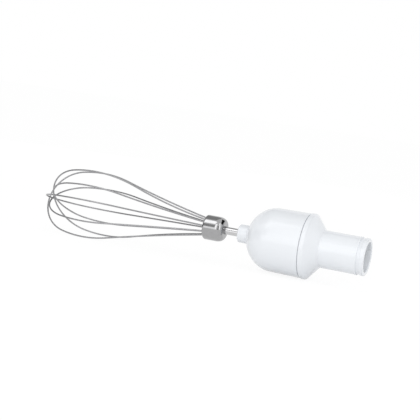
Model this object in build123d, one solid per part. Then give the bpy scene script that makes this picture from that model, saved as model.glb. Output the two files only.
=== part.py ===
from build123d import *
import os
from math import acos, cos, degrees, hypot, pi, radians, sin, sqrt, tan

# Whisk attachment of an immersion blender, lying on its side as it comes to rest.
# Sizes are in millimetres and angles in degrees. The turning axis is X: the neck that plugs into the
# blender points to +X, the whisk to -X, and +Z is up. The origin is on the axis, at the neck's root.

# Neck of the cover, which enters the blender's handle
neck_radius = 14.2
neck_length = 34.5
neck_wall = 2.9
end_ring_length = 3.2
latch_groove_width = 2.5
latch_groove_depth = 0.6
bead_length = 1.6
bead_height = 0.25
mouth_round = 0.9
mouth_inner_round = 0.5

# Shoulder and rim of the cover
shoulder_length = 9.0
shoulder_wall = 2.6
rim_length = 3.0
rim_radius = 25.0
rim_round = 1.5
seam_gap = 0.6
seam_round = 0.3
web_thickness = 2.6
lip_length = 3.6
lip_wall = 2.0

# Bell housing: slightly flattened half ball, drafted barrel and nose collar
bell_length = 47.3
dome_radius = 24.25
dome_length = 22.5
dome_wall = 2.5
bell_edge_radius = 24.6
collar_radius = 7.05
collar_length = 7.1
collar_round = 1.1
collar_root_round = 0.6
collar_lip = 1.2
rib_count = 6
rib_thickness = 1.6
rib_pad_width = 2.6
rib_setback = 2.6

# Gear train: two like planetary stages inside one ring gear
gear_module = 0.9
pressure_angle = 25.0
sun_teeth = 18
planet_teeth = 12
ring_teeth = 42
planet_count = 3
addendum = 0.8
dedendum = 1.0
backlash = 0.16
ring_wall = 2.1
ring_key_count = 3
ring_key_height = 0.8
ring_key_width = 3.0
first_gear_width = 4.8
second_gear_width = 6.8
first_plate_thickness = 3.0
second_plate_thickness = 3.8
carrier_radius = 17.0
first_pin_radius = 1.5
second_pin_radius = 1.7
pin_head_thickness = 0.8
pin_head_overhang = 1.0

# Clearances of the fits, and the free gaps between faces that turn past each other
running_clearance = 0.05
seat_clearance = 0.05
face_gap = 0.2
stage_gap = 0.6

# Shafts, bushes and the seal
input_shaft_radius = 2.5
input_bush_wall = 1.45
input_boss_length = 8.4
bush_flange_height = 1.6
bush_flange_thickness = 1.0
boss_wall = 2.4
sun_hub_wall = 1.7
spindle_radius = 4.3
spindle_recess = 0.4
nose_bush_wall = 1.35
seal_length = 1.6
hub_radius = 7.6
hub_length = 7.4
centre_pin_radius = 2.0
centre_pin_seat = 6.0
sun_spigot_radius = 4.0
thrust_washer_thickness = 0.6
thrust_washer_radius = 6.0

# Drive coupling, whose hexagon socket takes the blender's drive
coupling_radius = 7.0
coupling_length = 16.3
coupling_flute_count = 6
coupling_flute_radius = 1.6
coupling_flute_length = 10.0
socket_flats = 8.2
socket_depth = 9.0

# Whisk shaft, its socket in the spindle and the clip that grips it
shaft_radius = 3.0
exposed_shaft_length = 11.6
shaft_seat_in_plug = 11.4
shaft_chamfer = 0.4
tongue_length = 8.0
tongue_thickness = 4.0
socket_floor = 3.0
socket_end_gap = 0.5
clip_place = 9.0
clip_width = 0.8
clip_thickness = 0.45
clip_opening = 50.0

# Ferrule and the plug that holds the wires in it
ferrule_radius = 9.6
ferrule_length = 16.4
ferrule_wall = 0.8
ferrule_back_round = 3.6
ferrule_front_round = 1.7
plug_recess = 0.8

# Wire loops, to the wire's centre, from the one that reaches furthest to the innermost one
wire_radius = 0.6
wire_circle_radius = 7.0
wire_entry_slope = 11.4
straight_flare_turn = 1.0
wire_tail_length = 10.0
whisk_reach = 137.1
tip_pitch = 1.4
crown_turn = 77.4
belly_curve_radius = 81.0
loop_half_widths = (28.3, 29.4, 27.7, 31.1, 27.3)
# A loop bent by hand sits a little off the axis, towards its upper side
loop_offsets = (0.45, 2.1, 1.05, 2.5, 2.25)
# Turns from +Z towards -Y of the loops that stay off the ground. The whisk lies on the first and fourth
free_loop_turns = (77.7, -66.7, 53.4)

# Places along the axis
seam_x = -(shoulder_length + rim_length)
bell_edge_x = seam_x - seam_gap
lip_end_x = seam_x - lip_length
dome_apex_x = seam_x - bell_length
dome_centre_x = dome_apex_x + dome_length
collar_front_x = dome_apex_x - collar_length
end_ring_x = neck_length - end_ring_length
groove_x = end_ring_x - latch_groove_width
bead_x = groove_x - bead_length

# Radii of the gears, of the bore that holds the ring gear and of the neck's bore
sun_pitch_radius = gear_module * sun_teeth / 2
planet_pitch_radius = gear_module * planet_teeth / 2
ring_pitch_radius = gear_module * ring_teeth / 2
planet_circle_radius = sun_pitch_radius + planet_pitch_radius
ring_root_radius = ring_pitch_radius + dedendum * gear_module
ring_outer_radius = ring_root_radius + ring_wall
bell_bore_radius = ring_outer_radius + seat_clearance
neck_bore_radius = neck_radius - neck_wall

# Places of the two gear stages, from the cover towards the nose
first_head_x = lip_end_x - pin_head_thickness - face_gap
first_gear_x = first_head_x - face_gap - first_gear_width
first_plate_x = first_gear_x - face_gap - first_plate_thickness
second_head_x = first_plate_x - stage_gap - pin_head_thickness
second_gear_x = second_head_x - face_gap - second_gear_width
second_plate_x = second_gear_x - face_gap - second_plate_thickness
ring_nose_x = second_plate_x - stage_gap
hub_x = second_plate_x - hub_length

# Places of the shafts, bushes and seal
input_bore_radius = input_shaft_radius + running_clearance + input_bush_wall
input_boss_x = -web_thickness - input_boss_length
coupling_x = thrust_washer_thickness + face_gap
socket_x = coupling_x + coupling_length - socket_depth
nose_bore_radius = spindle_radius + running_clearance + nose_bush_wall
nose_boss_x = hub_x - face_gap - bush_flange_thickness
seal_x = collar_front_x + collar_lip
nose_bush_x = seal_x + seal_length
spindle_front_x = collar_front_x + spindle_recess
spindle_rear_x = second_plate_x + second_plate_thickness
spindle_bore_radius = shaft_radius + running_clearance
socket_bottom_x = spindle_rear_x - centre_pin_seat - socket_floor
clip_x = spindle_front_x + clip_place

# Places of the whisk
shaft_rear_x = socket_bottom_x - socket_end_gap
tongue_x = shaft_rear_x - tongue_length
ferrule_back_x = collar_front_x - exposed_shaft_length
ferrule_front_x = ferrule_back_x - ferrule_length
plug_front_x = ferrule_front_x + plug_recess
plug_back_x = ferrule_back_x - ferrule_wall
plug_radius = ferrule_radius - ferrule_wall
shaft_front_x = ferrule_back_x - shaft_seat_in_plug
whisk_tip_x = ferrule_front_x - whisk_reach


def turned(*outline):
    """Solid turned about the X axis from a closed outline, given as (x, radius) points or as curves."""
    curves = Polyline(*outline, close=True) if isinstance(outline[0], tuple) else list(outline)
    return revolve(make_face(curves), Axis.X, 360)


def tube(start_x, end_x, inner_radius, outer_radius):
    """Round tube about the X axis."""
    return turned(
        (start_x, inner_radius), (end_x, inner_radius), (end_x, outer_radius), (start_x, outer_radius)
    )


def rod(start_x, end_x, radius):
    """Round rod about the X axis."""
    return turned((start_x, 0), (end_x, 0), (end_x, radius), (start_x, radius))


def prism(start_x, end_x, outline):
    """Prism along X of a face drawn in the YZ plane."""
    return Pos(start_x, 0, 0) * extrude(Plane.YZ * outline, amount=end_x - start_x)


def around(count, solid):
    """Copies of a solid, evenly spaced about the X axis."""
    return [Rot(360 * index / count, 0, 0) * solid for index in range(count)]


def rounded(solid, x, radius, round_radius):
    """The turned solid with its round edge at one place and radius filleted."""
    edges = [
        edge
        for edge in solid.edges().filter_by(GeomType.CIRCLE)
        if abs(edge.arc_center.X - x) < 1e-3 and abs(edge.radius - radius) < 1e-3
    ]
    return fillet(edges, round_radius)


def save(name, shape):
    """Writes one named piece."""
    export_step(shape, os.path.join("parts", name + ".step"))


def involute(angle):
    """Involute function of a pressure angle in radians."""
    return tan(angle) - angle


def tooth_outline(teeth, inner_radius, outer_radius, thinning, phase):
    """Outline of gear teeth. A flank bends once, at the pitch circle, and is radial inside its base."""
    pitch_radius = gear_module * teeth / 2
    base_radius = pitch_radius * cos(radians(pressure_angle))
    half_at_pitch = pi / 2 / teeth - thinning / 2 / pitch_radius + involute(radians(pressure_angle))
    points = []
    for tooth in range(teeth):
        centre = phase + 2 * pi * tooth / teeth
        flank = []
        for radius in (inner_radius, pitch_radius, outer_radius):
            pressure = acos(base_radius / max(radius, base_radius))
            flank.append((radius, half_at_pitch - involute(pressure)))
        turns = [(radius, centre - half) for radius, half in flank]
        turns += [(radius, centre + half) for radius, half in flank[::-1]]
        points += [(radius * cos(turn), radius * sin(turn)) for radius, turn in turns]
    return make_face(Polyline(*points, close=True))


def gear(teeth, start_x, width, bore_radius, phase):
    """Gear with outside teeth and a round bore."""
    pitch_radius = gear_module * teeth / 2
    root_radius = pitch_radius - dedendum * gear_module
    tip_radius = pitch_radius + addendum * gear_module
    outline = tooth_outline(teeth, root_radius, tip_radius, backlash / 2, phase)
    return prism(start_x, start_x + width, outline - Circle(bore_radius))


def dome_x(radius, depth):
    """Place where the dome has a radius, measured at a depth inside its surface."""
    return dome_centre_x - (dome_length - depth) * sqrt(1 - (radius / (dome_radius - depth)) ** 2)


def dome_curve(first_x, last_x, depth):
    """Arc of the dome's half ellipse between two places, at a depth inside its surface."""
    first, last = (degrees(acos((x - dome_centre_x) / (dome_length - depth))) for x in (first_x, last_x))
    return EllipticalCenterArc(
        (dome_centre_x, 0), dome_length - depth, dome_radius - depth, start_angle=last, arc_size=first - last
    )


def bell_housing():
    """Moulded bell: nose collar, dome, drafted barrel, bush boss, ribs and the ring gear's key slots."""
    boss_radius = nose_bore_radius + boss_wall
    collar_root_x = dome_x(collar_radius, 0)
    boss_root_x = dome_x(boss_radius, dome_wall)
    seat_depth = (dome_centre_x - ring_nose_x) / (dome_length - dome_wall)
    seat_inner_radius = (dome_radius - dome_wall) * sqrt(1 - seat_depth**2)
    spindle_hole_radius = spindle_radius + face_gap
    shell = turned(
        Polyline(
            (collar_root_x, collar_radius),
            (collar_front_x, collar_radius),
            (collar_front_x, spindle_hole_radius),
            (seal_x, spindle_hole_radius),
            (seal_x, nose_bore_radius),
            (nose_boss_x, nose_bore_radius),
            (nose_boss_x, boss_radius),
            (boss_root_x, boss_radius),
        ),
        dome_curve(boss_root_x, ring_nose_x, dome_wall),
        Polyline(
            (ring_nose_x, seat_inner_radius),
            (ring_nose_x, bell_bore_radius),
            (bell_edge_x, bell_bore_radius),
            (bell_edge_x, bell_edge_radius),
            (dome_centre_x, dome_radius),
        ),
        dome_curve(collar_root_x, dome_centre_x, 0),
    )
    shell = rounded(shell, collar_front_x, collar_radius, collar_round)
    shell = rounded(shell, collar_root_x, collar_radius, collar_root_round)
    shell = rounded(shell, bell_edge_x, bell_edge_radius, seam_round)
    rib_root = 0.3
    rib_depth = dome_wall - rib_root
    rib_inner_radius = boss_radius - rib_root
    pad_radius = seat_inner_radius - rib_pad_width
    rib_face = make_face(
        Polyline(
            (dome_apex_x, rib_inner_radius),
            (dome_apex_x, dome_radius),
            (ring_nose_x, dome_radius),
            (ring_nose_x, pad_radius),
            (ring_nose_x - rib_setback, pad_radius),
            (ring_nose_x - rib_setback, rib_inner_radius),
            close=True,
        )
    )
    rib = extrude(rib_face, amount=rib_thickness / 2, both=True)
    core_radius = rib_inner_radius / 2
    core_x = dome_x(core_radius, rib_depth)
    rib &= turned(
        Polyline(
            (core_x, core_radius), (dome_centre_x, core_radius), (dome_centre_x, dome_radius - rib_depth)
        ),
        dome_curve(core_x, dome_centre_x, rib_depth),
    )
    slot_length = bell_edge_x - ring_nose_x
    slot_depth = ring_key_height + seat_clearance
    slot = Box(slot_length, 2 * slot_depth, ring_key_width + 2 * seat_clearance)
    slot = Pos((ring_nose_x + bell_edge_x) / 2, bell_bore_radius, 0) * slot
    return shell + around(rib_count, rib) - around(ring_key_count, slot)


def rear_cover():
    """Moulded cover: locating lip, rim, conical shoulder, web with the bush boss, and the hollow neck."""
    slope = (rim_radius - neck_radius) / shoulder_length
    wall_along_radius = shoulder_wall * hypot(1, slope)
    lip_inner_radius = ring_outer_radius - lip_wall
    inner_cone_radius = neck_radius + slope * web_thickness - wall_along_radius
    lip_root_x = -(lip_inner_radius + wall_along_radius - neck_radius) / slope
    boss_radius = input_bore_radius + boss_wall
    cover = turned(
        (lip_end_x, lip_inner_radius),
        (lip_end_x, ring_outer_radius),
        (seam_x, ring_outer_radius),
        (seam_x, rim_radius),
        (-shoulder_length, rim_radius),
        (0, neck_radius),
        (bead_x, neck_radius),
        (bead_x, neck_radius + bead_height),
        (groove_x, neck_radius + bead_height),
        (groove_x, neck_radius - latch_groove_depth),
        (end_ring_x, neck_radius - latch_groove_depth),
        (end_ring_x, neck_radius),
        (neck_length, neck_radius),
        (neck_length, neck_bore_radius),
        (0, neck_bore_radius),
        (0, input_bore_radius),
        (input_boss_x, input_bore_radius),
        (input_boss_x, boss_radius),
        (-web_thickness, boss_radius),
        (-web_thickness, inner_cone_radius),
        (lip_root_x, lip_inner_radius),
    )
    cover = rounded(cover, -shoulder_length, rim_radius, rim_round)
    cover = rounded(cover, seam_x, rim_radius, seam_round)
    cover = rounded(cover, neck_length, neck_radius, mouth_round)
    return rounded(cover, neck_length, neck_bore_radius, mouth_inner_round)


def ring_gear():
    """Keyed sleeve with inside teeth that both stages share."""
    spaces = tooth_outline(
        ring_teeth, ring_pitch_radius - addendum * gear_module, ring_root_radius, -backlash / 2, 0
    )
    sleeve = prism(ring_nose_x, lip_end_x, Circle(ring_outer_radius) - spaces)
    key_root = 0.5
    key = Box(lip_end_x - ring_nose_x, ring_key_height + key_root, ring_key_width)
    key_middle = ring_outer_radius + (ring_key_height - key_root) / 2
    key = Pos((ring_nose_x + lip_end_x) / 2, key_middle, 0) * key
    return sleeve + around(ring_key_count, key)


def flanged_bush(front_x, rear_x, flange_x, bore_radius, outer_radius):
    """Plain bush whose flange starts at flange_x, at one of its ends."""
    body = tube(front_x, rear_x, bore_radius, outer_radius)
    flange_radius = outer_radius + bush_flange_height
    return body + tube(flange_x, flange_x + bush_flange_thickness, bore_radius, flange_radius)


def carrier(plate_x, thickness, bore_radius, pin_radius):
    """Round plate with a centre hole and a hole for each planet pin."""
    plate = tube(plate_x, plate_x + thickness, bore_radius, carrier_radius)
    hole = Pos(0, planet_circle_radius, 0) * rod(plate_x, plate_x + thickness, pin_radius)
    return plate - around(planet_count, hole)


def planet_pins(plate_x, head_x, pin_radius):
    """Headed pins that carry the planets of one stage."""
    shank = rod(plate_x, head_x, pin_radius)
    head = rod(head_x, head_x + pin_head_thickness, pin_radius + pin_head_overhang)
    return Compound(around(planet_count, Pos(0, planet_circle_radius, 0) * (shank + head)))


def planets(start_x, width, pin_radius):
    """The planets of one stage, each with a tooth on the line through the axis."""
    planet = gear(planet_teeth, start_x, width, pin_radius + running_clearance, 0)
    return around(planet_count, Pos(0, planet_circle_radius, 0) * planet)


def drive_coupling():
    """Fluted coupling with a hexagon socket, open towards the mouth."""
    end_x = coupling_x + coupling_length
    body = tube(coupling_x, end_x, input_shaft_radius, coupling_radius)
    hexagon = RegularPolygon(socket_flats / 2, 6, major_radius=False)
    body -= prism(socket_x, end_x, hexagon)
    flute = Pos(0, coupling_radius, 0) * rod(end_x - coupling_flute_length, end_x, coupling_flute_radius)
    turn = Rot(180 / coupling_flute_count, 0, 0)
    return body - [turn * one_flute for one_flute in around(coupling_flute_count, flute)]


def double_flat(radius, thickness):
    """Circle with two flats, the section of the whisk shaft's tongue."""
    return Circle(radius) & Rectangle(2 * radius, thickness)


def output_spindle():
    """Hollow spindle: round bore, clip groove, flat-sided socket and the seat of the centre pin."""
    body = rod(spindle_front_x, spindle_rear_x, spindle_radius)
    body -= rod(spindle_front_x, tongue_x + face_gap, spindle_bore_radius)
    section = double_flat(spindle_bore_radius, tongue_thickness + 2 * running_clearance)
    body -= prism(tongue_x + face_gap, socket_bottom_x, section)
    body -= rod(spindle_rear_x - centre_pin_seat, spindle_rear_x, centre_pin_radius)
    groove_radius = spindle_bore_radius + clip_thickness + seat_clearance
    groove_end_x = clip_x + clip_width + seat_clearance
    return body - tube(clip_x - seat_clearance, groove_end_x, spindle_bore_radius, groove_radius)


def shaft_clip():
    """Open spring ring, drawn at the spread size that it has on the whisk shaft."""
    ring = tube(clip_x, clip_x + clip_width, spindle_bore_radius, spindle_bore_radius + clip_thickness)
    reach = 2 * spindle_bore_radius
    half = radians(clip_opening / 2)
    corner = (reach * cos(half), reach * sin(half))
    wedge = make_face(Polyline((0, 0), corner, (corner[0], -corner[1]), close=True))
    return ring - prism(clip_x, clip_x + clip_width, wedge)


def whisk_shaft():
    """Polished shaft from the plug to the spindle's socket, with a flat-sided tongue."""
    body = rod(shaft_front_x, tongue_x, shaft_radius)
    tongue = prism(tongue_x, shaft_rear_x, double_flat(shaft_radius, tongue_thickness))
    tip = turned(
        (tongue_x, 0),
        (shaft_rear_x, 0),
        (shaft_rear_x, shaft_radius - shaft_chamfer),
        (shaft_rear_x - shaft_chamfer, shaft_radius),
        (tongue_x, shaft_radius),
    )
    return body + (tongue & tip)


def cup_curves(front_x, back_x, radius, back_round):
    """Outside of the ferrule or the plug: from the front, along the barrel and round the back edge."""
    return [
        Line((front_x, radius), (back_x - back_round, radius)),
        RadiusArc((back_x - back_round, radius), (back_x, radius - back_round), back_round),
    ]


def ferrule():
    """Polished cup drawn from sheet, rounded at the back and rolled in round the wires at the front."""
    back_round = ferrule_back_round - ferrule_wall
    mouth_radius = ferrule_radius - ferrule_front_round
    barrel_x = ferrule_front_x + ferrule_front_round
    return turned(
        RadiusArc((ferrule_front_x, mouth_radius), (barrel_x, ferrule_radius), ferrule_front_round),
        *cup_curves(barrel_x, ferrule_back_x, ferrule_radius, ferrule_back_round),
        Polyline(
            (ferrule_back_x, ferrule_radius - ferrule_back_round),
            (ferrule_back_x, shaft_radius),
            (plug_back_x, shaft_radius),
            (plug_back_x, plug_radius - back_round),
        ),
        *cup_curves(plug_front_x, plug_back_x, plug_radius, back_round),
        Polyline(
            (plug_front_x, plug_radius),
            (plug_front_x, mouth_radius),
            (ferrule_front_x, mouth_radius),
        ),
    )


def wire_plug(loops):
    """Core inside the ferrule, with the shaft's seat and a slanted hole for each wire end."""
    back_round = ferrule_back_round - ferrule_wall
    body = turned(
        *cup_curves(plug_front_x, plug_back_x, plug_radius, back_round),
        Polyline(
            (plug_back_x, plug_radius - back_round),
            (plug_back_x, 0),
            (plug_front_x, 0),
            (plug_front_x, plug_radius),
        ),
    )
    return body - rod(shaft_front_x, plug_back_x, shaft_radius) - loops


def crown_radius_of(half_width):
    """Radius of a loop's round end, tangent to the flatter curve of its belly."""
    crown = radians(crown_turn)
    return (half_width - belly_curve_radius * (1 - sin(crown))) / sin(crown)


def belly_end(half_width, offset, tip_x, slope):
    """Place and radius where the belly on one side of a loop has come down to a slope."""
    crown = radians(crown_turn)
    crown_x = tip_x + crown_radius_of(half_width) * (1 - cos(crown))
    return (
        crown_x + belly_curve_radius * (cos(crown) + sin(slope)),
        half_width + offset - belly_curve_radius * (1 - cos(slope)),
    )


def flare_of(half_width, offset, tip_x):
    """Slopes on one side of a loop, in radians: where its belly ends, and where it enters the ferrule."""
    for straight in (False, True):
        low, high = 0, pi / 4
        while high - low > 1e-9:
            slope = (low + high) / 2
            entry = slope if straight else radians(wire_entry_slope)
            x, radius = belly_end(half_width, offset, tip_x, slope)
            if radius - wire_circle_radius > (ferrule_front_x - x) * tan((slope + entry) / 2):
                low = slope
            else:
                high = slope
        # A flare that would hardly bend is a straight line
        if abs(slope - entry) > radians(straight_flare_turn):
            return slope, entry
    return slope, slope


def flare(path, slope, entry, end):
    """Hollow or full curve that goes on from a path, or a straight line where the slopes are equal."""
    if slope == entry:
        return Line(path @ 1, end)
    radius = abs(end[0] - (path @ 1).X) / abs(sin(slope) - sin(entry))
    return JernArc(path @ 1, path % 1, radius, degrees(entry - slope))


def tail_end(entry, side):
    """End of a wire inside the ferrule, on the side 1 or -1 of its loop."""
    radius = wire_circle_radius - wire_tail_length * sin(entry)
    return ferrule_front_x + wire_tail_length * cos(entry), side * radius


def wire_loop(order, half_width, offset, turn):
    """One wire, bent in a plane: tail, flare, belly, crown, and back down to the other tail."""
    tip_x = whisk_tip_x + wire_radius + order * tip_pitch
    slope, entry = flare_of(half_width, offset, tip_x)
    last_slope, last_entry = flare_of(half_width, -offset, tip_x)
    path = Line(tail_end(entry, 1), (ferrule_front_x, wire_circle_radius))
    path += flare(path, slope, entry, belly_end(half_width, offset, tip_x, slope))
    for radius, angle in (
        (belly_curve_radius, 90 - crown_turn + degrees(slope)),
        (crown_radius_of(half_width), 2 * crown_turn),
        (belly_curve_radius, 90 - crown_turn + degrees(last_slope)),
    ):
        path += JernArc(path @ 1, path % 1, radius, angle)
    path += flare(path, last_slope, last_entry, (ferrule_front_x, -wire_circle_radius))
    path += Line(path @ 1, tail_end(last_entry, -1))
    section = Plane(origin=path @ 0, z_dir=path % 0) * Circle(wire_radius)
    return Rot(90 + turn, 0, 0) * sweep(section, path=path)


def wire_loops():
    """The five loops, from the one that reaches furthest. The first and the fourth touch the ground."""
    ground = rim_radius - wire_radius
    far_turn = -degrees(acos(ground / (loop_half_widths[0] - loop_offsets[0])))
    near_turn = degrees(acos(ground / (loop_half_widths[3] - loop_offsets[3])))
    turns = (far_turn, *free_loop_turns[:2], near_turn, free_loop_turns[2])
    sizes = zip(loop_half_widths, loop_offsets, turns)
    return [wire_loop(order, *size) for order, size in enumerate(sizes)]


os.makedirs("parts", exist_ok=True)

# Housing and what is fixed in it
save("bell_housing", bell_housing())
save("rear_cover", rear_cover())
save("ring_gear", ring_gear())
save(
    "nose_bush",
    flanged_bush(
        nose_bush_x, nose_boss_x, nose_boss_x, spindle_radius + running_clearance, nose_bore_radius
    ),
)
save("spindle_seal", tube(seal_x, nose_bush_x, spindle_radius + running_clearance, nose_bore_radius))
save(
    "input_bush",
    flanged_bush(
        input_boss_x,
        0,
        input_boss_x - bush_flange_thickness,
        input_shaft_radius + running_clearance,
        input_bore_radius,
    ),
)
save(
    "thrust_washer",
    tube(0, thrust_washer_thickness, input_shaft_radius + running_clearance, thrust_washer_radius),
)

# Input shaft with its coupling and the first sun
sun_hub_end_x = input_boss_x - bush_flange_thickness - face_gap
first_sun = gear(sun_teeth, first_gear_x, first_gear_width, input_shaft_radius, pi / sun_teeth)
first_sun += tube(
    first_gear_x + first_gear_width, sun_hub_end_x, input_shaft_radius, input_shaft_radius + sun_hub_wall
)
save("first_sun", first_sun)
save("input_shaft", rod(first_gear_x, socket_x, input_shaft_radius))
save("drive_coupling", drive_coupling())

# First stage
save("first_carrier", carrier(first_plate_x, first_plate_thickness, sun_spigot_radius, first_pin_radius))
save("first_planet_pins", planet_pins(first_plate_x, first_head_x, first_pin_radius))
for number, planet in enumerate(planets(first_gear_x, first_gear_width, first_pin_radius), 1):
    save(f"first_planet_{number}", planet)
second_sun = gear(
    sun_teeth,
    second_gear_x,
    first_plate_x - second_gear_x,
    centre_pin_radius + running_clearance,
    pi / sun_teeth,
)
second_sun += tube(
    first_plate_x,
    first_plate_x + first_plate_thickness,
    centre_pin_radius + running_clearance,
    sun_spigot_radius,
)
save("second_sun", second_sun)

# Second stage and the output spindle
output_carrier = carrier(second_plate_x, second_plate_thickness, spindle_radius, second_pin_radius)
output_carrier += tube(hub_x, second_plate_x, spindle_radius, hub_radius)
save("output_carrier", output_carrier)
save("second_planet_pins", planet_pins(second_plate_x, second_head_x, second_pin_radius))
for number, planet in enumerate(planets(second_gear_x, second_gear_width, second_pin_radius), 1):
    save(f"second_planet_{number}", planet)
save("output_spindle", output_spindle())
centre_pin_front_x = spindle_rear_x - centre_pin_seat
centre_pin_rear_x = first_plate_x + first_plate_thickness
save("centre_pin", rod(centre_pin_front_x, centre_pin_rear_x, centre_pin_radius))
save("shaft_clip", shaft_clip())

# Whisk
loops = wire_loops()
save("whisk_shaft", whisk_shaft())
save("ferrule", ferrule())
save("wire_plug", wire_plug(loops))
for number, loop in enumerate(loops, 1):
    save(f"wire_loop_{number}", loop)
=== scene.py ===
"""Whisk attachment of a hand blender in a white studio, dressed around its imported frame.

The turning axis is X: the neck points to +X and the whisk to -X. +Z is up and lengths are in metres.
"""

from math import acos, asin, cos, degrees, hypot, pi, radians, sin, tan

import bmesh
import bpy
from bpy.props import FloatProperty, FloatVectorProperty, IntProperty, PointerProperty
from mathutils import Matrix, Vector


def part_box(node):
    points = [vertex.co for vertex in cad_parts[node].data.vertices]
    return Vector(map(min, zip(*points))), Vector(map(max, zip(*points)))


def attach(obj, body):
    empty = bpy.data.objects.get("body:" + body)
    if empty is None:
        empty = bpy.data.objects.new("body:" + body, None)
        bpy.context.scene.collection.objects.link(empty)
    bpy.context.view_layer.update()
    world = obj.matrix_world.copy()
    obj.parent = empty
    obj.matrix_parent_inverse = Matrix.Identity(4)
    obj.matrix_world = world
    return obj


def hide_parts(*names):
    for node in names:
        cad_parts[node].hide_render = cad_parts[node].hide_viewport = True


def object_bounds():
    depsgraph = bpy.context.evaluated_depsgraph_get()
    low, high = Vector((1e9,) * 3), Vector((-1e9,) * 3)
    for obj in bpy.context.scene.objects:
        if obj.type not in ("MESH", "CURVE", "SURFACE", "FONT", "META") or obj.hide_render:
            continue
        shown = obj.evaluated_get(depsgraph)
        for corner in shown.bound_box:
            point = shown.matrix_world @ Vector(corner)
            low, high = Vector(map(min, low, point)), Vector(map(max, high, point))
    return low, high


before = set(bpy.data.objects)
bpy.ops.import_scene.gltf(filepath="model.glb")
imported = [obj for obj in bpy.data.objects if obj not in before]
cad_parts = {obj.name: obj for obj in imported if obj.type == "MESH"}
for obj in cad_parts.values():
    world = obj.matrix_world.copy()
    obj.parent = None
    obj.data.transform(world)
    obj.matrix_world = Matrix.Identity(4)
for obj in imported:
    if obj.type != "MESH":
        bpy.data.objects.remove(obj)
cad_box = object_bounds()

bl_info = {
    "name": "Whisk attachment studio",
    "version": (1, 0, 0),
    "blender": (4, 5, 0),
    "location": "3D View > Sidebar > Whisk",
    "description": "Builds the visible pieces of a hand blender's whisk attachment and their studio",
    "category": "Object",
}

MM = 0.001

# Places that the frame gives
COLLAR_FRONT_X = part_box("bell_housing")[0].x
BELL_EDGE_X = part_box("bell_housing")[1].x
LIP_END_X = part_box("rear_cover")[0].x
MOUTH_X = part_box("rear_cover")[1].x
FERRULE_FRONT_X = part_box("ferrule")[0].x
FERRULE_BACK_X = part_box("ferrule")[1].x
SHAFT_FRONT_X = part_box("whisk_shaft")[0].x
SHAFT_REAR_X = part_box("whisk_shaft")[1].x
SHAFT_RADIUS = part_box("whisk_shaft")[1].z
FERRULE_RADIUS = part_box("ferrule")[1].z
WHISK_TIP_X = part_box("wire_loop_1")[0].x
GROUND_Z = cad_box[0].z


def linear(hex_colour):
    """Linear RGB of an sRGB hex colour."""
    channels = [int(hex_colour[place : place + 2], 16) / 255 for place in (1, 3, 5)]
    return tuple(c / 12.92 if c <= 0.04045 else ((c + 0.055) / 1.055) ** 2.4 for c in channels)


class WHISK_PG_housing(bpy.types.PropertyGroup):
    """Sizes and colour of the white housing."""

    sides: IntProperty(
        name="Sides", description="Faces round each turned piece", default=192, min=24, max=360
    )
    colour: FloatVectorProperty(
        name="White", description="Colour of the moulded housing", subtype="COLOR", default=linear("#EAEDF1")
    )


class WHISK_PG_whisk(bpy.types.PropertyGroup):
    """Sizes and colours of the whisk."""

    wire_radius: FloatProperty(
        name="Wire radius", description="Half the wire's thickness", default=0.6 * MM, unit="LENGTH"
    )
    tip_pitch: FloatProperty(
        name="Tip pitch",
        description="Step between the tips of neighbouring loops",
        default=1.4 * MM,
        unit="LENGTH",
    )
    half_widths: FloatVectorProperty(
        name="Half widths",
        description="Half the width of each loop's centre line, from the loop that reaches furthest",
        size=5,
        default=(28.3 * MM, 29.4 * MM, 27.7 * MM, 31.1 * MM, 27.3 * MM),
        unit="LENGTH",
    )
    offsets: FloatVectorProperty(
        name="Offsets",
        description="How far each loop sits off the axis, towards its upper side",
        size=5,
        default=(0.45 * MM, 2.1 * MM, 1.05 * MM, 2.5 * MM, 2.25 * MM),
        unit="LENGTH",
    )
    free_turns: FloatVectorProperty(
        name="Free turns",
        description="Turns about the axis of the loops that stay off the ground",
        size=3,
        default=(radians(77.7), radians(-66.7), radians(53.4)),
        unit="ROTATION",
    )
    wire_sides: IntProperty(name="Wire sides", description="Faces round a wire", default=20, min=6, max=48)
    wire_colour: FloatVectorProperty(
        name="Wire", description="Colour of the drawn wire", subtype="COLOR", default=linear("#A0A0A2")
    )
    polish_colour: FloatVectorProperty(
        name="Polish", description="Colour of the polished steel", subtype="COLOR", default=linear("#A9A9AA")
    )
    shaft_colour: FloatVectorProperty(
        name="Shaft", description="Colour of the ground shaft", subtype="COLOR", default=linear("#C8C8C9")
    )


class WHISK_PG_studio(bpy.types.PropertyGroup):
    """Camera and light levels."""

    lens: FloatProperty(name="Lens", description="Focal length", default=102.86, unit="CAMERA")
    fill: FloatProperty(name="Fill", description="Level of the light from all round", default=0.78)
    softbox: FloatProperty(name="Softboxes", description="Brightness of the softboxes", default=2.5)


def add_node(tree, kind, settings=None, links=None):
    """Adds a node with its settings, and with values or sockets for its inputs, by name or number."""
    node = tree.nodes.new(kind)
    for name, value in (settings or {}).items():
        setattr(node, name, value)
    for name, value in (links or {}).items():
        if isinstance(value, bpy.types.NodeSocket):
            tree.links.new(value, node.inputs[name])
        else:
            node.inputs[name].default_value = value
    return node


def empty_tree(owner):
    """Cleared node tree of a material or a world."""
    owner.use_nodes = True
    owner.node_tree.nodes.clear()
    return owner.node_tree


def start_material(name, settings):
    """Material with one shader, its tree, the shader and the object coordinates."""
    material = bpy.data.materials.new(name)
    tree = empty_tree(material)
    shader = add_node(tree, "ShaderNodeBsdfPrincipled", links=settings)
    add_node(tree, "ShaderNodeOutputMaterial", links={"Surface": shader.outputs["BSDF"]})
    place = add_node(tree, "ShaderNodeTexCoord").outputs["Object"]
    return material, tree, shader, place


def speckle(tree, place, size, detail=2.0):
    """Noise whose grains are about as large as size."""
    return add_node(
        tree, "ShaderNodeTexNoise", links={"Vector": place, "Scale": 1 / size, "Detail": detail}
    ).outputs["Fac"]


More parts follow.
